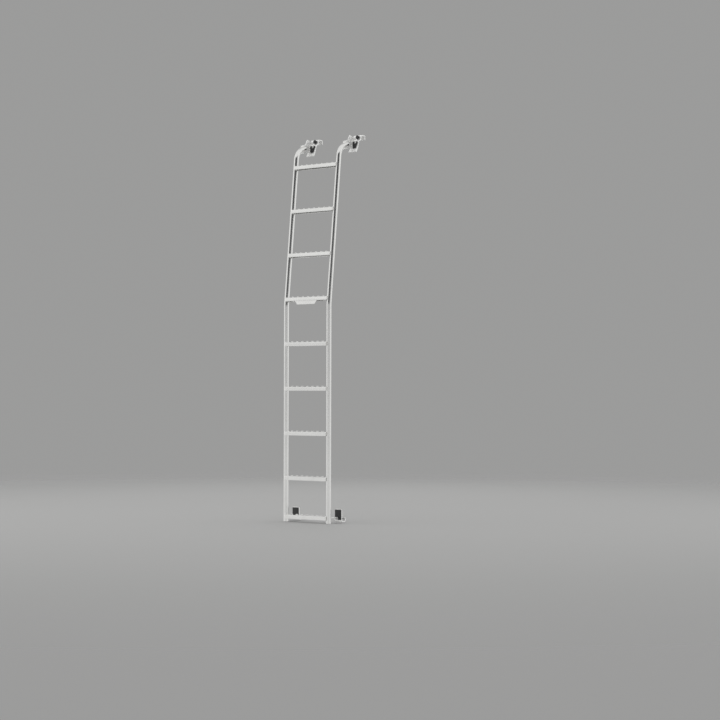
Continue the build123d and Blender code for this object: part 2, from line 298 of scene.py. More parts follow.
# %% One mesh from patches
MERGE_DISTANCE = 0.000004
SHARP_ANGLE = 35.0


def surface(name, patches, finish, slot, closed=True, sharp_angle=SHARP_ANGLE):
    """Make one mesh from grid patches, with a UV map in metres along the grid's two directions."""
    faces, uvs, start = [], [], 0
    for patch in patches:
        rows, columns = patch.shape[:2]
        cells = grid_faces(rows, columns)
        across, along = np.meshgrid(walked(patch, 1), walked(patch, 0))
        faces.append(cells + start)
        uvs.append(np.stack([along.ravel(), across.ravel()], axis=-1)[cells])
        start += rows * columns
    points = np.concatenate([patch.reshape(-1, 3) for patch in patches])
    mesh = bpy.data.meshes.new(name)
    mesh.from_pydata(points, [], np.concatenate(faces))
    corner_uvs = np.concatenate(uvs).astype(np.float32).ravel()
    mesh.uv_layers.new(name="metres").uv.foreach_set("vector", corner_uvs)
    work = bmesh.new()
    work.from_mesh(mesh)
    bmesh.ops.remove_doubles(work, verts=work.verts, dist=MERGE_DISTANCE)
    if closed:
        bmesh.ops.recalc_face_normals(work, faces=work.faces)
    work.to_mesh(mesh)
    work.free()
    mesh.polygons.foreach_set("use_smooth", np.ones(len(mesh.polygons), bool))
    mesh.set_sharp_from_angle(angle=np.radians(sharp_angle))
    mesh.materials.append(finish)
    piece = bpy.data.objects.new(name, mesh)
    bpy.context.scene.collection.objects.link(piece)
    if slot:
        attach(piece, "root")
    return piece


# %% Broken edges
BEVEL_STEPS = 2


def break_edges(piece, width, angle, steps=BEVEL_STEPS):
    """Put a fine Bevel on all edges that turn by more than an angle, and return it."""
    bevel = piece.modifiers.new("break_edges", "BEVEL")
    bevel.width = width
    bevel.segments = steps
    bevel.limit_method = "ANGLE"
    bevel.angle_limit = angle
    return bevel


# %% [markdown]
# ### The floor
#
# A disc of pale paper under the ladder catches its shadow. A square plane would show an edge in some
# views, so the disc fades out with the distance from its middle. Mirrored rays pass through it, and the
# steel shows the room's own ground tones in its place.

# %% Floor
FLOOR_RADIUS, FLOOR_RINGS, FLOOR_SPOKES = 9.0, 24, 96
FLOOR_CLEAR_STARTS, FLOOR_CLEAR_ENDS = 2.5, 8.0
FLOOR_TONE, FLOOR_ROUGHNESS = (0.37, 0.37, 0.366, 1.0), 0.9

reach = np.linspace(0, FLOOR_RADIUS, FLOOR_RINGS)
around = np.linspace(0, 2 * np.pi, FLOOR_SPOKES + 1)
radius, angle = np.meshgrid(reach, around, indexing="ij")
floor_height = np.full_like(radius, cad_low.z)
floor_disc = np.stack([radius * np.cos(angle), radius * np.sin(angle), floor_height], axis=-1)
paper, tree, shader = start_finish("pale_floor", Base_Color=FLOOR_TONE, Roughness=FLOOR_ROUGHNESS)
place = add_node(tree, "ShaderNodeTexCoord").outputs["Object"]
distance = add_node(tree, "ShaderNodeVectorMath", {0: place}, operation="LENGTH").outputs["Value"]
opaque = map_range(tree, distance, FLOOR_CLEAR_STARTS, FLOOR_CLEAR_ENDS, 1.0, 0.0, smooth=True)
hidden = {0: opaque, 1: mirrored_ray(tree)}
opaque = add_node(tree, "ShaderNodeMath", hidden, operation="SUBTRACT", use_clamp=True).outputs[0]
tree.links.new(opaque, shader.inputs["Alpha"])
surface("floor", [floor_disc], paper, slot=None, closed=False)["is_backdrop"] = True
print("floor at", round(cad_low.z, 4))

# %% [markdown]
# ## Finishes
#
# The stainless tube is polished round its girth, the rungs are brushed along their length, the clamps
# are a duller satin and the weld beads keep a faint straw tint from the heat. One finish with different
# numbers makes them all: fine scratches, stretched one way, decide how rough the steel is and leave
# streaks in its tone. The scratches follow the tube through its bends, so there they read the surface's
# own map; flat parts read plain object coordinates.

# %% Stainless steel
POLISHED = (0.74, 0.74, 0.73, 1.0), (0.66, 0.66, 0.65, 1.0)
SATIN = (0.92, 0.92, 0.91, 1.0), (0.72, 0.72, 0.71, 1.0)
HEATED = (0.92, 0.92, 0.91, 1.0), (0.82, 0.79, 0.74, 1.0)
SCRATCH_NOISE = {"Scale": 1.0, "Detail": 5.0, "Roughness": 0.65}
HANDLING_NOISE = {"Scale": 9.0, "Detail": 3.0}
SCRATCH_BUMP = {"Strength": 0.12, "Distance": 0.00003}
# Start and end of the noise, then the low and high that they become
HANDLED, STREAKED = (0.35, 0.7, 0.0, 0.4), (0.45, 0.7, 0.0, 0.5)
SCRATCHED = 0.3, 0.7


def stainless(name, coordinate, scratch_scale, smoothest, roughest, metal=1.0, tones=POLISHED):
    """Bare steel: fine scratches stretched one way drive roughness, bump and tone; slow clouds vary it."""
    material, tree, shader = start_finish(name, Metallic=metal)
    source = add_node(tree, "ShaderNodeTexCoord").outputs
    stretched = add_node(tree, "ShaderNodeMapping", {"Vector": source[coordinate], "Scale": scratch_scale})
    scratches = noise(tree, stretched.outputs[0], SCRATCH_NOISE)
    handled = map_range(tree, noise(tree, source["Object"], HANDLING_NOISE), *HANDLED, smooth=True)
    streaks = map_range(tree, scratches, *STREAKED)
    tone = mix_colour(tree, streaks, mix_colour(tree, handled, *tones), tones[1])
    rough = map_range(tree, scratches, *SCRATCHED, smoothest, roughest)
    bump = add_node(tree, "ShaderNodeBump", {"Height": scratches, **SCRATCH_BUMP})
    tree.links.new(tone, shader.inputs["Base Color"])
    tree.links.new(rough, shader.inputs["Roughness"])
    tree.links.new(bump.outputs[0], shader.inputs["Normal"])
    return material


tube_steel = stainless(
    "polished_tube_steel", "UV", scratch_scale=(2600.0, 25.0, 1.0), smoothest=0.12, roughest=0.22,
)
sheet_steel = stainless(
    "brushed_sheet_steel", "Object", scratch_scale=(30.0, 2600.0, 2600.0), smoothest=0.16, roughest=0.28,
)
satin_steel = stainless(
    "satin_hook_steel", "Object", scratch_scale=(45.0, 1100.0, 1100.0), smoothest=0.4, roughest=0.54,
    metal=0.65, tones=SATIN,
)
plate_steel = stainless(
    "satin_plate_steel", "Object", scratch_scale=(1100.0, 45.0, 1100.0), smoothest=0.42, roughest=0.56,
    metal=0.5, tones=SATIN,
)
bolt_steel = stainless(
    "turned_bolt_steel", "Object", scratch_scale=(900.0, 900.0, 900.0), smoothest=0.2, roughest=0.34,
)
weld_steel = stainless(
    "weld_bead_steel", "Object", scratch_scale=(420.0, 420.0, 420.0), smoothest=0.28, roughest=0.42,
    metal=0.65, tones=HEATED,
)
steels = tube_steel, sheet_steel, satin_steel, plate_steel, bolt_steel, weld_steel
print("steel finishes:", *[finish.name for finish in steels])

# %% [markdown]
# ### Black parts
#
# Powder coat is baked on and a little pebbled, moulded plastic carries the fine grain of its mould, and
# rubber is dull. A flat black would swallow their shapes, so each has its own grain in the bump and soft
# clouds that vary its tone and gloss.

# %% Black finishes
GRAIN_DETAIL, GRAIN_STRENGTH = 2.0, 0.35
WEAR_NOISE, WORN = {"Scale": 45.0, "Detail": 4.0}, (0.42, 0.72, 0.0, 1.0)


def black_finish(name, tone, worn_tone, grain_scale, grain_depth, roughness, worn_roughness):
    """A dark coat or moulding: even grain drives the bump, slow clouds drive tone and roughness."""
    material, tree, shader = start_finish(name)
    place = add_node(tree, "ShaderNodeTexCoord").outputs["Object"]
    grain = noise(tree, place, {"Scale": grain_scale, "Detail": GRAIN_DETAIL})
    worn = map_range(tree, noise(tree, place, WEAR_NOISE), *WORN, smooth=True)
    gloss = map_range(tree, worn, 0.0, 1.0, roughness, worn_roughness)
    bump = {"Height": grain, "Strength": GRAIN_STRENGTH, "Distance": grain_depth}
    tree.links.new(mix_colour(tree, worn, tone, worn_tone), shader.inputs["Base Color"])
    tree.links.new(gloss, shader.inputs["Roughness"])
    tree.links.new(add_node(tree, "ShaderNodeBump", bump).outputs[0], shader.inputs["Normal"])
    return material


black_coat = black_finish(
    "black_powder_coat", tone=(0.011, 0.011, 0.012, 1), worn_tone=(0.018, 0.018, 0.019, 1),
    grain_scale=1500.0, grain_depth=0.00012, roughness=0.38, worn_roughness=0.5,
)
black_plastic = black_finish(
    "black_moulded_plastic", tone=(0.014, 0.014, 0.015, 1), worn_tone=(0.022, 0.022, 0.023, 1),
    grain_scale=3200.0, grain_depth=0.00006, roughness=0.45, worn_roughness=0.6,
)
black_rubber = black_finish(
    "black_rubber", tone=(0.017, 0.017, 0.0175, 1), worn_tone=(0.03, 0.03, 0.031, 1),
    grain_scale=2200.0, grain_depth=0.00008, roughness=0.72, worn_roughness=0.85,
)
print("black finishes:", black_coat.name, black_plastic.name, black_rubber.name)

# %% [markdown]
# ## The tubes
#
# Each rail is one length of round tube, bent twice. A bent tube is a profile carried along a path: rings
# of points stand square to the path, and the path is straight runs joined by arcs. A curve object with a
# round bevel would do it too, but only a grid gives an inner wall, a rounded rim and a map measured along
# the tube, which the polishing marks need. The ring's two directions are X and X crossed with the path's
# direction. An extra ring close to each rim keeps the smooth shading of the wall straight to its end.

# %% Path of a rail
LEAN = np.radians(5.4)
END_RISE = np.radians(16.0)
KNEE_HEIGHT, UPPER_LENGTH, END_LENGTH = 1.125, 0.820, 0.062
KNEE_RADIUS, TOP_BEND_RADIUS = 0.120, 0.070
PATH_STEP = 0.004

rail_low, rail_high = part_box("left_rail")
TUBE_RADIUS = (rail_high.x - rail_low.x) / 2
RAIL_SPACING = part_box("right_rail")[0].x - rail_low.x
SIDE_PLACES = tuple(zip(SIDES, (0.0, RAIL_SPACING)))
rail_foot = np.array([0.0, rail_low.y + TUBE_RADIUS, rail_low.z])
lean_direction = np.array([0.0, np.sin(LEAN), np.cos(LEAN)])
end_direction = np.array([0.0, np.cos(END_RISE), np.sin(END_RISE)])
rail_knee = rail_foot + KNEE_HEIGHT * Z_AXIS
rail_corner = rail_knee + UPPER_LENGTH * lean_direction
rail_end = rail_corner + END_LENGTH * end_direction


def straight(start, end, step):
    """Evenly spaced points from start to end, no further apart than step."""
    count = int(np.ceil(np.linalg.norm(end - start) / step)) + 1
    return np.linspace(start, end, count)


def bent_line(corners, radii, step):
    """Straight runs joined by arcs: each corner is cut back by its radius x tan(half the turn)."""
    runs, start = [], corners[0]
    for before, corner, after, radius in zip(corners, corners[1:], corners[2:], radii):
        inward, outward = unit(corner - before), unit(after - corner)
        turn = np.arccos(inward @ outward)
        cut = radius * np.tan(turn / 2)
        to_centre = unit(outward - inward * np.cos(turn))
        entry = corner - inward * cut
        angle = np.linspace(0, turn, int(np.ceil(radius * turn / step)) + 1)[:, None]
        arc = entry + radius * (inward * np.sin(angle) + to_centre * (1 - np.cos(angle)))
        runs += [straight(start, entry, step)[:-1], arc[:-1]]
        start = arc[-1]
    return np.concatenate(runs + [straight(start, corners[-1], step)])


rail_corners = [rail_foot, rail_knee, rail_corner, rail_end]
rail_path = bent_line(rail_corners, [KNEE_RADIUS, TOP_BEND_RADIUS], PATH_STEP)
rail_walk = line_walk(rail_path)
print("rail path", len(rail_path), "points,", round(rail_walk[-1], 4), "m of tube")

# %% Tubes
TUBE_WALL = 0.0015
RIM_RADIUS, RIM_STEPS = 0.0004, 4
RIM_SUPPORT = np.array([1.0, 1.8])
INNER_STEP = 0.015
RING_POINTS = 48


def at_walk(values, walk):
    """Values given along the rail's path, read at other distances along it."""
    return np.stack([np.interp(walk, rail_walk, column) for column in values.T], axis=-1)


def tube_patch(x):
    """Rings square to the path: up the outside, over the rim, down the inside and over the foot's rim."""
    length, inner = rail_walk[-1], TUBE_RADIUS - TUBE_WALL
    turn = np.linspace(0, np.pi / 2, RIM_STEPS)
    foot_rings, end_rings = RIM_RADIUS * RIM_SUPPORT, length - RIM_RADIUS * RIM_SUPPORT[::-1]
    outer_walk = np.concatenate([foot_rings, rail_walk[1:-1], end_rings])
    inner_walk = np.linspace(end_rings[0], foot_rings[1], int(length / INNER_STEP))[1:-1]
    inner_walk = np.concatenate([end_rings[::-1], inner_walk, foot_rings[::-1]])
    rise, draw = RIM_RADIUS * np.sin(turn), RIM_RADIUS * (1 - np.cos(turn))
    walk = [outer_walk, length - RIM_RADIUS + rise, length - RIM_RADIUS + rise[::-1], inner_walk]
    walk += [RIM_RADIUS - rise, RIM_RADIUS - rise[::-1]]
    radius = [np.full_like(outer_walk, TUBE_RADIUS), TUBE_RADIUS - draw, inner + draw[::-1]]
    radius += [np.full_like(inner_walk, inner), inner + draw, TUBE_RADIUS - draw[::-1]]
    walk, radius = np.concatenate(walk), np.concatenate(radius)[:, None, None]
    centre = at_walk(rail_path, walk)[:, None, :] + x * X_AXIS
    ahead = unit(at_walk(np.gradient(rail_path, axis=0), walk))[:, None, :]
    angle = np.linspace(0, 2 * np.pi, RING_POINTS + 1)[None, :, None]
    return centre + radius * (np.cos(angle) * X_AXIS + np.sin(angle) * np.cross(X_AXIS, ahead))


for side, x in SIDE_PLACES:
    tube = surface(f"{side}_tube", [tube_patch(x)], tube_steel, "stainless")
    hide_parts(f"{side}_rail")
    print(tube.name, len(tube.data.polygons), "faces")

# %% [markdown]
# ## The rungs
#
# A rung is a strip of sheet folded into an upside-down channel, with seven holes pressed up into crowns
# so that a wet boot holds. Only its outer skin is worked out here, in the rung's own frame: x along the
# rung, y away from the climber, z along the tube. The top is cut into one rectangular cell per crown. In a
# cell the grid is polar: columns go round the crown, rows go from the rectangle in to a circle and then up
# a quarter round to the lip. The skin then gets the sheet's thickness from Solidify, which also turns the
# lip over, and a fine Bevel. Sculpting or boolean cuts would leave ragged shading round the crowns; the
# polar grid does not.

# %% Sizes of a rung
RUNG_COUNT, CROWN_COUNT = 9, 7
FOOT_RUNG_HEIGHT, FOOT_RUNG_PITCH, RUNG_PITCH = 0.026, 0.200, 0.232
RUNG_DEPTH, RUNG_HEIGHT, RUNG_SHEET, RUNG_BEND = 0.034, 0.020, 0.002, 0.0035
CROWN_PITCH, CROWN_BASE, CROWN_HEIGHT = 0.036, 0.010, 0.005
COPE_GAP = 0.00015
END_CELLS, SIDE_CELLS = 12, 16
FLAT_ROWS, FLARE_ROWS, BEND_ROWS, DROP_ROWS, END_ROWS = 3, 9, 6, 3, 4

rung_half = (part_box("rung_9")[1].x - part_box("rung_9")[0].x) / 2
flat_half = RUNG_DEPTH / 2 - RUNG_BEND
rung_top = RUNG_HEIGHT / 2
crowned_half = CROWN_COUNT * CROWN_PITCH / 2
crown_x = (np.arange(CROWN_COUNT) - (CROWN_COUNT - 1) / 2) * CROWN_PITCH
print("rung", round(2 * rung_half, 4), "m long, crowns at", crown_x.round(3))


# %% One crown and the flat round it
def grid(x, y, z):
    """Three arrays of the same shape, or that stretch to it, stacked into a grid of points."""
    return np.stack(np.broadcast_arrays(x, y, z), axis=-1)


def crown_cell():
    """Rows blend straight from a rectangle to the crown's circle, then climb a quarter round:
    radius = base - height x sin t, rise = height x (1 - cos t)."""
    across = np.linspace(-1, 1, END_CELLS + 1) * flat_half
    along = np.linspace(-1, 1, SIDE_CELLS + 1) * CROWN_PITCH / 2
    edge_x = np.full(END_CELLS, CROWN_PITCH / 2)
    edge_y = np.full(SIDE_CELLS, flat_half)
    rim_x = np.concatenate([edge_x, along[:0:-1], -edge_x, along[:-1]])
    rim_y = np.concatenate([across[:-1], edge_y, across[:0:-1], -edge_y])
    rim = np.stack([rim_x, rim_y], axis=-1)[::-1]
    rim = np.concatenate([rim, rim[:1]])
    ray = unit(rim)
    blend = np.linspace(0, 1, FLAT_ROWS + 1)[:-1, None, None]
    flat = (1 - blend) * rim + blend * CROWN_BASE * ray
    turn = np.linspace(0, np.pi / 2, FLARE_ROWS)[:, None, None]
    flare = (CROWN_BASE - CROWN_HEIGHT * np.sin(turn)) * ray
    plan = np.concatenate([flat, flare])
    rise = np.concatenate([np.zeros(len(flat)), CROWN_HEIGHT * (1 - np.cos(turn[:, 0, 0]))])
    return grid(plan[..., 0], plan[..., 1], rung_top + rise[:, None])


# %% Ends and flanges of a rung
def cope_end(y):
    """Where the rung's top meets a tube: the tube's circle, or the rung's cut end where that comes first."""
    cope = np.sqrt(np.clip((TUBE_RADIUS + COPE_GAP) ** 2 - y**2, 0, None))
    return np.minimum(rung_half, RAIL_SPACING / 2 - cope)


def end_strip(sign):
    """The flat between the last crown cell and a tube, as straight lines along the rung."""
    y = np.linspace(-1, 1, END_CELLS + 1)[:, None] * flat_half
    reach = np.linspace(0, 1, END_ROWS + 1)[None, :]
    strip = grid(sign * (crowned_half + reach * (cope_end(y) - crowned_half)), y, rung_top)
    return strip[:, ::-1] if sign > 0 else strip


def flange(sign):
    """A quarter round bend from the flat, then straight down, carried along the rung."""
    turn = np.linspace(0, np.pi / 2, BEND_ROWS)
    drop = np.linspace(rung_top - RUNG_BEND, -rung_top, DROP_ROWS + 1)[1:]
    y = np.concatenate([flat_half + RUNG_BEND * np.sin(turn), np.full(DROP_ROWS, RUNG_DEPTH / 2)])
    z = np.concatenate([rung_top - RUNG_BEND * (1 - np.cos(turn)), drop])
    ends = np.linspace(crowned_half, rung_half, END_ROWS + 1)[1:]
    middle = np.linspace(-crowned_half, crowned_half, CROWN_COUNT * SIDE_CELLS + 1)
    x = np.concatenate([-ends[::-1], middle, ends])
    side = grid(x[None, :], sign * y[:, None], z[:, None])
    return side[:, ::-1] if sign > 0 else side


# %% Rung skin
cell = crown_cell()
rung_skin = [cell + x * X_AXIS for x in crown_x] + [end_strip(-1), end_strip(1), flange(-1), flange(1)]
print("rung skin:", sum(patch.shape[0] * patch.shape[1] for patch in rung_skin), "points")

# %% Rungs on the tubes
LIP_BREAK, LIP_ANGLE = 0.0003, np.radians(40)


def rung_frame(number):
    """Origin of a rung and its three directions as rows; rung 1 is the top one, the last is at the foot."""
    climb = FOOT_RUNG_HEIGHT
    if number < RUNG_COUNT:
        climb += FOOT_RUNG_PITCH + RUNG_PITCH * (RUNG_COUNT - 1 - number)
    along = Z_AXIS if climb <= KNEE_HEIGHT else lean_direction
    straight_part = min(climb, KNEE_HEIGHT)
    origin = rail_foot + straight_part * Z_AXIS + (climb - straight_part) * along
    origin = origin + RAIL_SPACING / 2 * X_AXIS
    return origin, np.array([X_AXIS, np.cross(along, X_AXIS), along])


def thicken(piece, thickness):
    """Give a skin the sheet's thickness on its inner side and break the cut edges."""
    solidify = piece.modifiers.new("sheet", "SOLIDIFY")
    solidify.thickness = thickness
    solidify.offset = -1
    solidify.use_even_offset = True
    break_edges(piece, LIP_BREAK, LIP_ANGLE)


for number in range(1, RUNG_COUNT + 1):
    origin, basis = rung_frame(number)
    patches = [patch @ basis + origin for patch in rung_skin]
    rung = surface(f"pressed_rung_{number}", patches, sheet_steel, "stainless", closed=False)
    thicken(rung, RUNG_SHEET)
    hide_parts(f"rung_{number}")
print("rungs:", RUNG_COUNT, "with", len(rung.data.polygons), "skin faces each")

# %% [markdown]
# ## Weld beads
#
# Each rung is welded to both tubes. A bead is a thin roll of metal with a ripple at every drop that the
# welder laid. It is a circle carried along the seam: the circle's radius swells a little at each drop and
# closes to a point at both ends. The seam over the rung follows the tube's own circle, and a short bead
# at each corner fills the space between flange and tube.

# %% Bead along a seam
BEAD_STEP, BEAD_RING, BEAD_SHARP_ANGLE = 0.00025, 16, 60.0
DROP_PITCH, DROP_SWELL, BEAD_END_POWER = 0.0015, 0.07, 10


def bead(seam, radius):
    """Rings along a seam, where s is the way walked and t the same from 0 to 1. Their size is
    radius x (1 + swell x |sin(pi s / pitch)|) x sqrt(1 - |2t - 1|^power)."""
    walk = line_walk(seam)
    part = walk / walk[-1]
    swell = 1 + DROP_SWELL * np.abs(np.sin(np.pi * walk / DROP_PITCH))
    size = radius * swell * np.sqrt(np.clip(1 - np.abs(2 * part - 1) ** BEAD_END_POWER, 0, None))
    ahead = unit(np.gradient(seam, axis=0))
    helper = np.eye(3)[np.argmin(np.abs(ahead).max(axis=0))]
    side = unit(np.cross(ahead, helper))
    up = np.cross(ahead, side)
    angle = np.linspace(0, 2 * np.pi, BEAD_RING + 1)[None, :, None]
    ring = np.cos(angle) * side[:, None, :] + np.sin(angle) * up[:, None, :]
    return seam[:, None, :] + size[:, None, None] * ring


# %% Welds of the rungs
SEAM_LIFT, SEAM_TURN = 0.0006, np.radians(66)
BEAD_RADIUS, CORNER_BEAD_RADIUS = 0.0016, 0.0025
CORNER_BEAD_X, CORNER_BEAD_Y, CORNER_BEAD_ENDS = 0.0043, 0.0142, (-0.96, 1.06)

seam_radius = TUBE_RADIUS + SEAM_LIFT


def rung_seams():
    """Seams in the rung's frame: an arc of the tube's circle on top, then the four upright corner lines."""
    turn = np.linspace(-SEAM_TURN, SEAM_TURN, int(2 * SEAM_TURN * seam_radius / BEAD_STEP))
    climb = np.linspace(*CORNER_BEAD_ENDS, int(2 * rung_top / BEAD_STEP)) * rung_top
    seams = []
    for sign in (-1, 1):
        arc_x = sign * (RAIL_SPACING / 2 - seam_radius * np.cos(turn))
        seams.append((grid(arc_x, seam_radius * np.sin(turn), rung_top), BEAD_RADIUS))
        for y in (-CORNER_BEAD_Y, CORNER_BEAD_Y):
            corner_x = sign * (RAIL_SPACING / 2 - CORNER_BEAD_X)
            seams.append((grid(corner_x, y, climb), CORNER_BEAD_RADIUS))
    return seams


rung_beads = [bead(seam, radius) for seam, radius in rung_seams()]
for number in range(1, RUNG_COUNT + 1):
    origin, basis = rung_frame(number)
    patches = [patch @ basis + origin for patch in rung_beads]
    weld = surface(f"rung_weld_{number}", patches, weld_steel, "stainless", sharp_angle=BEAD_SHARP_ANGLE)
print("rung welds:", RUNG_COUNT, "with", len(weld.data.polygons), "faces each")

# %% [markdown]
# ## The top clamps
#
# Each tube ends in a pierced plate that stands in a slot of the tube and carries a folded hook. These two
# keep their solid shape. Here they get the welds that join them: a pair of beads along the slot over the
# tube and another under it, a pair where the brace enters the tube's bend, and one up the hook's folded
# back.

# %% Lines of the top clamps
PLATE_SHEET, HOOK_SHEET = 0.004, 0.004
TANG_DEPTH = 0.027
HOOK_FOOT = (0.025, -0.0255)
PLATE_RISE, PLATE_LEAN = 0.041, np.radians(15.0)
STEP_RUN, STEP_RISE = 0.014, 0.008
UPRIGHT_RUN, UPRIGHT_RISE = 0.004, 0.023

hook_foot = rail_end + np.array([0.0, *HOOK_FOOT])
plate_up = np.array([0.0, np.sin(PLATE_LEAN), np.cos(PLATE_LEAN)])
plate_out = np.cross(plate_up, X_AXIS)
plate_length = PLATE_RISE / np.cos(PLATE_LEAN)
hook_knee = hook_foot + plate_length * plate_up
hook_shoulder = hook_knee + np.array([0.0, STEP_RUN, STEP_RISE])
upright_up = unit(np.array([0.0, UPRIGHT_RUN, UPRIGHT_RISE]))
upright_back = -np.cross(upright_up, X_AXIS)
step_back = -np.cross(unit(hook_shoulder - hook_knee), X_AXIS)
print("hook foot", hook_foot.round(4), "knee", hook_knee.round(4), "shoulder", hook_shoulder.round(4))

# %% Welds of the top clamps
CLAMP_BEAD_RADIUS = 0.0015
BRACE_ENTRY = np.radians([121.0, 136.5])
SLOT_END_CLEAR = 0.001
HOOK_BEND_RADIUS, HOOK_SEAM_START, HOOK_SEAM_END = 0.004, 0.009, 0.0145


def unit_mitre(first, second):
    """Where two lines meet that each stand 1 off a corner: sum of normals over 1 + their product."""
    return (first + second) / (1 + first @ second)


def clamp_seams():
    """Seams in the plane of a rail: along the slot over and under the tube, round the brace, up the hook."""
    length = rail_walk[-1]
    walk = np.linspace(length - TANG_DEPTH, length - SLOT_END_CLEAR, int(TANG_DEPTH / BEAD_STEP))
    ahead = unit(at_walk(np.gradient(rail_path, axis=0), walk))
    rise = np.cross(X_AXIS, ahead)
    over = at_walk(rail_path, walk) + rise * TUBE_RADIUS
    under = at_walk(rail_path, walk) - rise * TUBE_RADIUS
    lean_end = rail_corner - lean_direction * TOP_BEND_RADIUS * np.tan((np.pi / 2 - LEAN - END_RISE) / 2)
    bend_centre = lean_end + np.cross(lean_direction, X_AXIS) * TOP_BEND_RADIUS
    turn = np.linspace(*BRACE_ENTRY, int(np.ptp(BRACE_ENTRY) * TOP_BEND_RADIUS / BEAD_STEP))
    inside = TOP_BEND_RADIUS - TUBE_RADIUS
    brace = bend_centre + inside * grid(0.0, np.cos(turn), np.sin(turn))
    knee_back = unit_mitre(-plate_out, step_back) * HOOK_SHEET / 2
    shoulder_back = unit_mitre(step_back, upright_back) * HOOK_SHEET / 2
    hook_line = [
        hook_foot + HOOK_SEAM_START * plate_up - plate_out * HOOK_SHEET / 2,
        hook_knee + knee_back,
        hook_shoulder + shoulder_back,
        hook_shoulder + HOOK_SEAM_END * upright_up + upright_back * HOOK_SHEET / 2,
    ]
    hook = bent_line(hook_line, [HOOK_BEND_RADIUS + HOOK_SHEET, HOOK_BEND_RADIUS], BEAD_STEP)
    return over, under, brace, hook


over, under, brace, hook = clamp_seams()
for side, x in SIDE_PLACES:
    beside = (x + PLATE_SHEET / 2) * X_AXIS, (x - PLATE_SHEET / 2) * X_AXIS
    patches = [bead(seam + shift, CLAMP_BEAD_RADIUS) for seam in (over, under, brace) for shift in beside]
    patches.append(bead(hook + beside[0], CLAMP_BEAD_RADIUS))
    weld = surface(f"{side}_clamp_weld", patches, weld_steel, "stainless", sharp_angle=BEAD_SHARP_ANGLE)
print("clamp welds:", len(weld.data.polygons), "faces each")

# %% [markdown]
# ## Turned and moulded parts
#
# Knobs, screws, bolts, washers and plugs are all round about one axis, so one helper makes them: a list of
# rings, each with a radius, a height along the axis and a share of hexagon. A hexagon is a circle whose
# radius shrinks towards the middle of each flat by cos 30 degrees over the cosine of the angle from there.

# %% Rings round an axis
def turned(rows, place, axis, columns=48, wave=1.0):
    """Rings square to an axis that is itself square to X. Each row holds a radius, a height along the
    axis and a share of hexagon; wave scales the radii round the ring."""
    radius, height, hexagon = np.array(rows).T[:, :, None]
    angle = np.linspace(0, 2 * np.pi, columns + 1)
    six = np.cos(np.pi / 6) / np.cos(angle % (np.pi / 3) - np.pi / 6)
    reach = radius * (1 - hexagon + hexagon * six) * wave
    ring = np.cos(angle)[:, None] * X_AXIS + np.sin(angle)[:, None] * np.cross(axis, X_AXIS)
    return place + height[..., None] * axis + reach[..., None] * ring


# %% [markdown]
# ### Knobs
#
# Each hook carries a black plastic knob on a stud, with eight shallow flutes that give wet fingers a
# hold. Flutes could be cut out of a cylinder, but a grip whose radius sinks and swells eight times round
# has smooth flanks and no cut edges.

# %% Knobs
KNOB_OFFSET, KNOB_RISE, KNOB_GAP = 0.032, 0.012, 0.00015
KNOB_RADIUS, KNOB_HEIGHT, STUD_RADIUS = 0.010, 0.011, 0.004
FLUTES, FLUTE_DEPTH, GRIP_RADIUS, KNOB_COLUMNS = 8, 0.07, 0.0092, 96

KNOB_ROWS = [
    (0.0, -HOOK_SHEET, 0), (STUD_RADIUS, -HOOK_SHEET, 0), (STUD_RADIUS, 0.0, 0), (0.0082, 0.0, 0),
    (0.0086, 0.0004, 0), (0.0086, 0.0016, 0), (0.0096, 0.0022, 0), (KNOB_RADIUS, 0.0030, 0),
    (KNOB_RADIUS, 0.0085, 0), (0.0097, 0.0097, 0), (0.0090, 0.0106, 0), (0.0080, KNOB_HEIGHT, 0),
    (0.0066, KNOB_HEIGHT, 0), (0.0060, 0.0105, 0), (0.0, 0.0103, 0),
]
around = np.linspace(0, 2 * np.pi, KNOB_COLUMNS + 1)
gripped = np.array(KNOB_ROWS)[:, :1] > GRIP_RADIUS
flutes = 1 - gripped * FLUTE_DEPTH * (0.5 - 0.5 * np.cos(FLUTES * around))
knob_seat = hook_shoulder + KNOB_RISE * upright_up + (HOOK_SHEET / 2 + KNOB_GAP) * upright_back
for side, x in SIDE_PLACES:
    place = knob_seat + (x + KNOB_OFFSET) * X_AXIS
    patch = turned(KNOB_ROWS, place, upright_back, columns=KNOB_COLUMNS, wave=flutes)
    knob = surface(f"{side}_fluted_knob", [patch], black_plastic, "black_plastic")
    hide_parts(f"{side}_top_knob")
print("knobs:", len(knob.data.polygons), "faces each, seat", knob_seat.round(4))

# %% [markdown]
# ### Plugs
#
# A plastic plug keeps water out of each tube's lower end. It is pushed in flush, so only its face shows,
# dished in the middle as moulded plugs are.

# %% Plugs in the lower ends
PLUG_RADIUS, PLUG_DEPTH = 0.0109, 0.014
PLUG_ROWS = [
    (0.0, 0.0009, 0), (0.0060, 0.0009, 0), (0.0066, 0.0006, 0), (0.0072, 0.0, 0), (0.0100, 0.0, 0),
    (0.0106, 0.0003, 0), (PLUG_RADIUS, 0.0010, 0), (PLUG_RADIUS, 0.0130, 0), (0.0102, PLUG_DEPTH, 0),
    (0.0, PLUG_DEPTH, 0),
]
for side, x in SIDE_PLACES:
    patch = turned(PLUG_ROWS, rail_foot + x * X_AXIS, Z_AXIS)
    plug = surface(f"{side}_tube_plug", [patch], black_plastic, "black_plastic")
    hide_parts(f"{side}_end_plug")
print("plugs:", len(plug.data.polygons), "faces each")

# %% [markdown]
# ### Screws and bolts
#
# A round-headed screw with a hexagon socket holds each jaw, and a hexagon bolt holds each lower arm, both
# on washers. Their threads are out of sight, so washer and head are one turned profile. The screw's seat
# follows the sloping face of the wedge-shaped jaw.

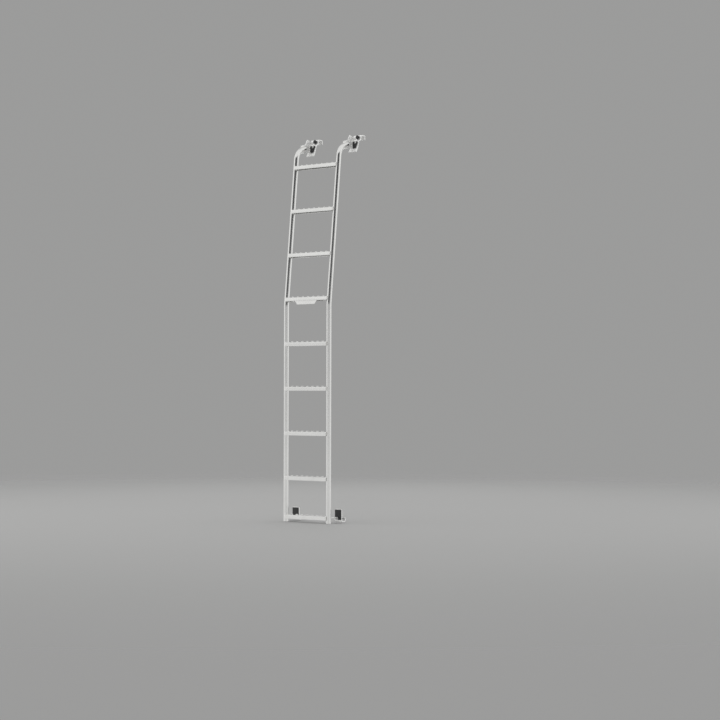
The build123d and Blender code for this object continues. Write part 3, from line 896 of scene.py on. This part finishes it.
# %% Screws and bolts
SCREW_OFFSET, SCREW_RISE = 0.036, 0.032
JAW_LOW, JAW_HIGH, JAW_TOE, JAW_THICKNESS = 0.003, 0.039, 0.004, 0.008
BOLT_INWARD, BOLT_HEIGHT, ARM_SHEET = 0.010, -0.0165, 0.004

SCREW_ROWS = [
    (0.0, 0.0, 0), (0.0052, 0.0, 0), (0.0055, 0.0003, 0), (0.0055, 0.0009, 0), (0.0052, 0.0012, 0),
    (0.0045, 0.0012, 0), (0.0046, 0.0018, 0), (0.0044, 0.0026, 0), (0.0039, 0.0033, 0), (0.0031, 0.0038, 0),
    (0.0025, 0.0040, 0), (0.0023, 0.0038, 1), (0.0022, 0.0022, 1), (0.0, 0.0016, 1),
]
BOLT_ROWS = [
    (0.0, 0.0, 0), (0.0057, 0.0, 0), (0.0060, 0.0003, 0), (0.0060, 0.0011, 0), (0.0057, 0.0014, 0),
    (0.0050, 0.0014, 0), (0.0056, 0.0017, 1), (0.0058, 0.0020, 1), (0.0058, 0.0046, 1),
    (0.0054, 0.0052, 0.6), (0.0046, 0.0055, 0), (0.0, 0.0055, 0),
]
jaw_slope = np.arctan2(JAW_THICKNESS - JAW_TOE, JAW_HIGH - JAW_LOW)
screw_axis = -plate_out * np.cos(jaw_slope) - plate_up * np.sin(jaw_slope)
screw_depth = HOOK_SHEET / 2 + JAW_TOE + (SCREW_RISE - JAW_LOW) * np.tan(jaw_slope)
screw_seat = hook_foot + SCREW_RISE * plate_up - screw_depth * plate_out
for (side, x), inward in zip(SIDE_PLACES, (1, -1)):
    place = screw_seat + (x + SCREW_OFFSET) * X_AXIS
    surface(f"{side}_jaw_screw", [turned(SCREW_ROWS, place, screw_axis)], bolt_steel, "stainless")
    tab_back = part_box(f"{side}_lower_cover")[0].y - ARM_SHEET
    place = np.array([x + inward * BOLT_INWARD, tab_back, BOLT_HEIGHT])
    bolt = surface(f"{side}_arm_bolt", [turned(BOLT_ROWS, place, -Y_AXIS)], bolt_steel, "stainless")
print("screw axis", screw_axis.round(3), "bolt seat", place.round(4), len(bolt.data.polygons), "faces")

# %% [markdown]
# ## Rubber facings
#
# A rubber pad lines each hook, so that the steel doesn't mark what it grips. It is a slab with rounded
# edges and shallow grooves across its outer face. Both directions share one edge profile, an upright wall
# and then a quarter round, and the slab's height is the lower of the two profiles at each point.

# %% Grooved pads
PAD_EDGE, PAD_EDGE_STEPS, PAD_CELLS = 0.0008, 5, 64
GROOVE_PITCH, GROOVE_DEPTH, GROOVE_SHARPNESS = 0.006, 0.0009, 6


def edge_profile(length, thickness):
    """Places along a slab and its height there: an upright wall, a quarter round, then level."""
    half = length / 2
    turn = np.linspace(0, np.pi / 2, PAD_EDGE_STEPS)
    inset, rise = PAD_EDGE * (1 - np.cos(turn)), thickness - PAD_EDGE + PAD_EDGE * np.sin(turn)
    level = np.linspace(PAD_EDGE - half, half - PAD_EDGE, PAD_CELLS)[1:-1]
    places = np.concatenate([[-half], inset - half, level, (half - inset)[::-1], [half]])
    heights = np.concatenate([[0.0], rise, np.full_like(level, thickness), rise[::-1], [0.0]])
    return places, heights


def grooved_pad(middle, up, out, width, height, thickness):
    """Height = the lower of the two edge profiles, less depth x |cos|^n of the way up inside the edges."""
    across, across_rise = edge_profile(width, thickness)
    along, along_rise = edge_profile(height, thickness)
    rise = np.minimum(across_rise[None, :], along_rise[:, None])
    inner_across = np.abs(across) < width / 2 - 2 * PAD_EDGE
    inner_along = np.abs(along) < height / 2 - 2 * PAD_EDGE
    inner = inner_across[None, :] & inner_along[:, None]
    groove = GROOVE_DEPTH * np.abs(np.cos(np.pi * along / GROOVE_PITCH))[:, None] ** GROOVE_SHARPNESS
    plan = middle + across[None, :, None] * X_AXIS + along[:, None, None] * up
    face = plan + np.where(inner, rise - groove, rise)[..., None] * out
    return [face, plan[:, ::-1]]


TOP_PAD_WIDTH, TOP_PAD_MARGIN, TOP_PAD_THICKNESS = 0.042, 0.009, 0.003
TOP_PAD_MIDDLE = 0.024
plate_middle = hook_foot + plate_up * plate_length / 2 + plate_out * HOOK_SHEET / 2
top_pad_size = TOP_PAD_WIDTH, plate_length - 2 * TOP_PAD_MARGIN, TOP_PAD_THICKNESS
for side, x in SIDE_PLACES:
    middle = plate_middle + (x + TOP_PAD_MIDDLE) * X_AXIS
    patches = grooved_pad(middle, plate_up, plate_out, *top_pad_size)
    pad = surface(f"{side}_grooved_top_pad", patches, black_rubber, "rubber")
    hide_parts(f"{side}_top_pad")
    low, high = (np.array(corner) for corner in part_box(f"{side}_lower_pad"))
    middle = (low + high) / 2 * (1, 0, 1) + low[1] * Y_AXIS
    patches = grooved_pad(middle, Z_AXIS, Y_AXIS, high[0] - low[0], high[2] - low[2], high[1] - low[1])
    pad = surface(f"{side}_grooved_lower_pad", patches, black_rubber, "rubber")
    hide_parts(f"{side}_lower_pad")
print("pads:", len(pad.data.polygons), "faces each")

# %% [markdown]
# ## Solids that stay
#
# The folded and cut sheet parts already have their true shape. They keep it and only get a finish, and
# a fine bevel on every sheared edge, because a real edge always catches a thread of light. The solids
# arrive as loose triangles, so a Weld and a planar Decimate come before the Bevel.
#
# The Bevel keeps its width even where a leftover edge runs almost along a hole's rim; with its overlap
# clamp, one such edge would take the bevel off the whole piece. The gusset's narrow notch has room for one
# step only, and the jaw needs none, because its edges are moulded round.

# %% Dress the solids that stay
EDGE_BREAK, EDGE_ANGLE = 0.0005, np.radians(32)
FLAT_ANGLE = np.radians(1.0)
KEPT_SOLIDS = {
    "top_gusset": (plate_steel, 1),
    "top_hook": (satin_steel, BEVEL_STEPS),
    "lower_arm": (plate_steel, BEVEL_STEPS),
    "lower_hook": (satin_steel, BEVEL_STEPS),
    "lower_cover": (black_coat, BEVEL_STEPS),
    "top_jaw": (black_plastic, 0),
}


def dress_solid(name, finish, bevel_steps):
    """Give a solid its finish and, where it has sheared edges, break them in so many steps."""
    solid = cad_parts[name]
    solid.data.materials.clear()
    solid.data.materials.append(finish)
    if bevel_steps == 0:
        return
    weld = solid.modifiers.new("join_corners", "WELD")
    weld.merge_threshold = MERGE_DISTANCE
    flat = solid.modifiers.new("clear_flats", "DECIMATE")
    flat.decimate_type = "DISSOLVE"
    flat.angle_limit = FLAT_ANGLE
    bevel = break_edges(solid, EDGE_BREAK, EDGE_ANGLE, bevel_steps)
    bevel.use_clamp_overlap = False
    bevel.loop_slide = False
    bevel.harden_normals = True


for side in SIDES:
    for part, (finish, bevel_steps) in KEPT_SOLIDS.items():
        dress_solid(f"{side}_{part}", finish, bevel_steps)
dress_solid("tag_plate", sheet_steel, BEVEL_STEPS)
print("dressed solids:", len(SIDES) * len(KEPT_SOLIDS) + 1)

# %% [markdown]
# ## Measure and finish
#
# Last, the box round the finished ladder is measured and printed. It should agree with the box of the solids
# to within a bevel or a weld bead.

# %% Measure and finish
low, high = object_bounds()
print("visual box", [round(v, 4) for v in high - low])
